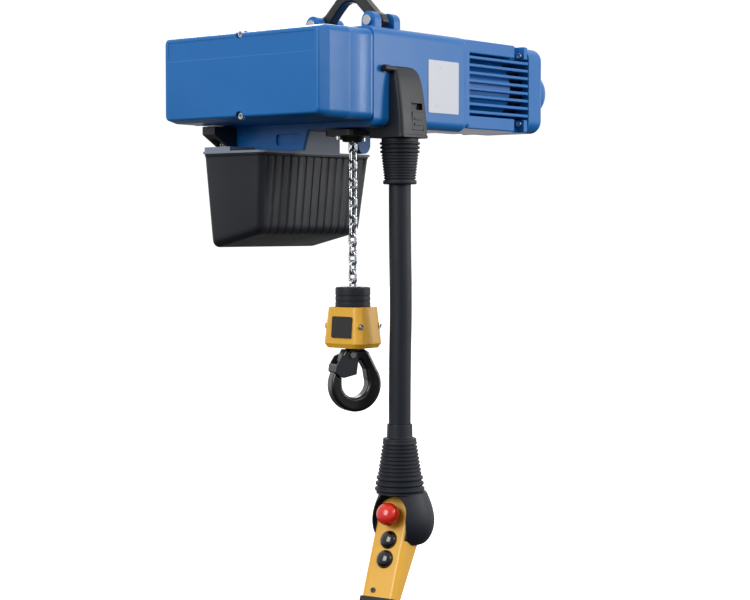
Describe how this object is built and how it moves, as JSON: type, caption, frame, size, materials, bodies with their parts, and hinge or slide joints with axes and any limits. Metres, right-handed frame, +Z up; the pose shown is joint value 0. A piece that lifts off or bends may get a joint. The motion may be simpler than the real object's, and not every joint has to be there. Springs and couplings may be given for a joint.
{
  "type": "electric chain hoist",
  "caption": "Electric chain hoist with a suspension bow, finned motor, chain store, yellow hook block with a latched swivel hook, and a hand pendant on a thick control cable.",
  "frame": {"origin": "inner apex of the suspension bow, on the vertical line of the load chain", "axes": "+Z up; X along the motor axis, electrics cover at -X and motor at +X; the control plug is on the -Y side"},
  "size_m": [0.5447, 0.32, 0.8125],
  "materials": {
    "blue_paint": "semi-gloss powder coat",
    "black_plastic": "fine moulded grain",
    "black_rubber": "satin",
    "grey_plastic": "satin",
    "yellow_plastic": "satin",
    "red_plastic": "gloss",
    "button_black": "gloss",
    "bow_black": "satin",
    "hook_black": "satin",
    "zinc_chain": "bright zinc",
    "zinc_bolt": "bright zinc",
    "steel": "machined",
    "cast": "machined casting",
    "black_casting": "satin",
    "winding": "laminated",
    "board": "matt",
    "contactor_grey": "matt",
    "label_white": "satin",
    "plate_black": "satin",
    "fan_plastic": "matt"
  },
  "bodies": {
    "hoist": {"main_housing": "blue_paint", "electrics_cover": "blue_paint", "housing_screws": "zinc_bolt", "gear_carrier": "cast", "motor_housing": "blue_paint", "fan_cover": "blue_paint", "suspension_bow": "bow_black", "suspension_pins": "zinc_bolt", "chain_guide": "black_casting", "chain_box": "black_plastic", "chain_chute": "grey_plastic", "box_bracket": "bow_black", "box_bolt": "zinc_bolt", "stored_chain": "zinc_chain", "rating_label": "label_white", "control_board": "board", "contactors": "contactor_grey", "motor_stator": "winding", "brake_magnet": "steel", "motor_bearings": "steel", "gear_bearings": "steel", "connector": "black_plastic", "connector_boot": "black_rubber", "control_cable": "black_rubber", "pendant_boot": "black_rubber", "pendant_front_shell": "yellow_plastic", "pendant_rear_shell": "yellow_plastic", "pendant_bumper": "black_rubber", "pendant_screw": "zinc_bolt", "contact_block": "contactor_grey"},
    "rotor": {"motor_shaft": "steel", "motor_rotor": "steel", "fan": "fan_plastic", "brake_disc": "steel"},
    "brake_plate": {"brake_armature": "steel"},
    "first_stage": {"first_shaft": "steel", "first_gear": "steel"},
    "second_stage": {"second_shaft": "steel", "second_gear": "steel"},
    "output_stage": {"output_shaft": "steel", "output_gear": "steel", "pocket_wheel": "steel"},
    "hook_block": {"load_chain": "zinc_chain", "chain_pin": "steel", "block_casing_front": "yellow_plastic", "block_casing_rear": "yellow_plastic", "block_screws": "zinc_bolt", "buffer": "black_rubber", "capacity_plate": "plate_black", "thrust_bearing": "steel"},
    "hook": {"hook": "hook_black", "hook_nut": "steel", "latch_pin": "steel"},
    "latch": {"hook_latch": "steel"},
    "slack": {"slack_chain": "zinc_chain"},
    "plug_latch": {"connector_latch": "black_plastic"},
    "stop_plunger": {"stop_stem": "black_plastic"},
    "stop_head": {"stop_cap": "red_plastic"},
    "up": {"up_button": "button_black"},
    "down": {"down_button": "button_black"}
  },
  "joints": [
    {"name": "rotor_spin", "type": "hinge", "parent": "hoist", "child": "rotor", "pos_m": [0, -0.01, -0.099], "axis": [1, 0, 0], "range_deg": [-5730, 5730]},
    {"name": "first_spin", "type": "hinge", "parent": "hoist", "child": "first_stage", "pos_m": [0, 0.04485, -0.103], "axis": [1, 0, 0], "range_deg": [-994, 994]},
    {"name": "second_spin", "type": "hinge", "parent": "hoist", "child": "second_stage", "pos_m": [0, 0.08388, -0.11383], "axis": [1, 0, 0], "range_deg": [-383, 383]},
    {"name": "output_spin", "type": "hinge", "parent": "hoist", "child": "output_stage", "pos_m": [0, 0.01877, -0.103], "axis": [1, 0, 0], "range_deg": [-133.5, 133.5]},
    {"name": "hook_lift", "type": "slide", "parent": "hoist", "child": "hook_block", "axis": [0, 0, 1], "range_m": [-0.045, 0.045], "deforming": ["stored_chain"]},
    {"name": "slack_travel", "type": "slide", "parent": "hoist", "child": "slack", "axis": [0, 0.5878, -0.809], "range_m": [-0.045, 0.045]},
    {"name": "hook_swivel", "type": "hinge", "parent": "hook_block", "child": "hook", "pos_m": [0, 0, -0.45], "axis": [0, 0, 1], "continuous": true},
    {"name": "hook_latch", "type": "hinge", "parent": "hook", "child": "latch", "pos_m": [-0.00544, 0.00254, -0.462], "axis": [-0.4226, -0.9063, 0], "range_deg": [0, 30], "stiffness_Nm_per_rad": 0.1, "springref_deg": -22.92},
    {"name": "brake_release", "type": "slide", "parent": "hoist", "child": "brake_plate", "axis": [-1, 0, 0], "range_m": [0, 0.0005], "stiffness_N_per_m": 2000, "springref_m": -0.004},
    {"name": "plug_latch", "type": "slide", "parent": "hoist", "child": "plug_latch", "axis": [0, 1, 0], "range_m": [0, 0.002], "stiffness_N_per_m": 500, "springref_m": -0.002},
    {"name": "stop_push", "type": "slide", "parent": "hoist", "child": "stop_plunger", "axis": [0.9182, 0.129, -0.3746], "range_m": [0, 0.0045], "stiffness_N_per_m": 600, "springref_m": -0.004},
    {"name": "stop_twist", "type": "hinge", "parent": "stop_plunger", "child": "stop_head", "pos_m": [-0.003, -0.0712, -0.6705], "axis": [0.9182, 0.129, -0.3746], "range_deg": [0, 45], "stiffness_Nm_per_rad": 0.02, "springref_deg": -17.19},
    {"name": "up_push", "type": "slide", "parent": "hoist", "child": "up", "axis": [0.9182, 0.129, -0.3746], "range_m": [0, 0.003], "stiffness_N_per_m": 500, "springref_m": -0.003},
    {"name": "down_push", "type": "slide", "parent": "hoist", "child": "down", "axis": [0.9182, 0.129, -0.3746], "range_m": [0, 0.003], "stiffness_N_per_m": 500, "springref_m": -0.003}
  ],
  "couplings": [
    {"joint": "first_spin", "follows": "rotor_spin", "ratio": -0.17333},
    {"joint": "second_spin", "follows": "rotor_spin", "ratio": 0.066667},
    {"joint": "output_spin", "follows": "rotor_spin", "ratio": -0.023129},
    {"joint": "hook_lift", "follows": "rotor_spin", "m_per_rad": 0.0004491},
    {"joint": "slack_travel", "follows": "rotor_spin", "m_per_rad": 0.0004491}
  ]
}
